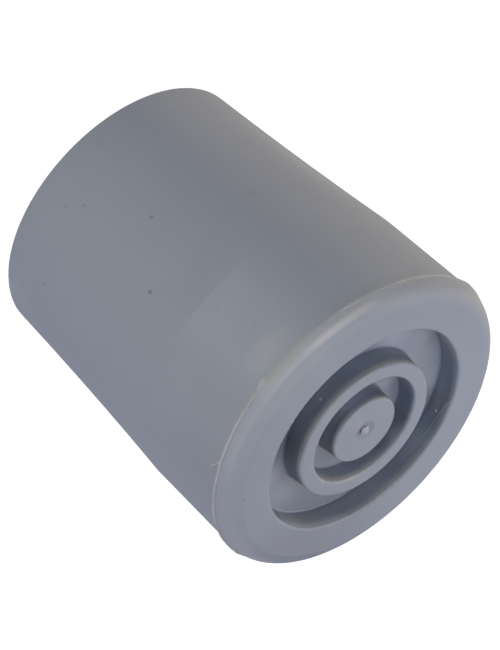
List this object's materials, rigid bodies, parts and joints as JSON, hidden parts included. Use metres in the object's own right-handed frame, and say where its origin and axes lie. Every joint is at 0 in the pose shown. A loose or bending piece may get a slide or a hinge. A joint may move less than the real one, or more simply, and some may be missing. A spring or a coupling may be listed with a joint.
{
  "type": "rubber cane tip",
  "caption": "Round push-on rubber foot for a walking stick: tapered cup with a blind bore and a tread of concentric ridges on its ground face.",
  "frame": {"origin": "centre of the mouth plane, which the part stands on", "axes": "+Z along the bore's axis, from the open mouth up to the tread; the part is round about Z"},
  "size_m": [0.038, 0.038, 0.0421],
  "materials": {
    "rubber": "smooth matt moulded rubber"
  },
  "bodies": {
    "root": {"cane_tip": "rubber"}
  },
  "joints": []
}
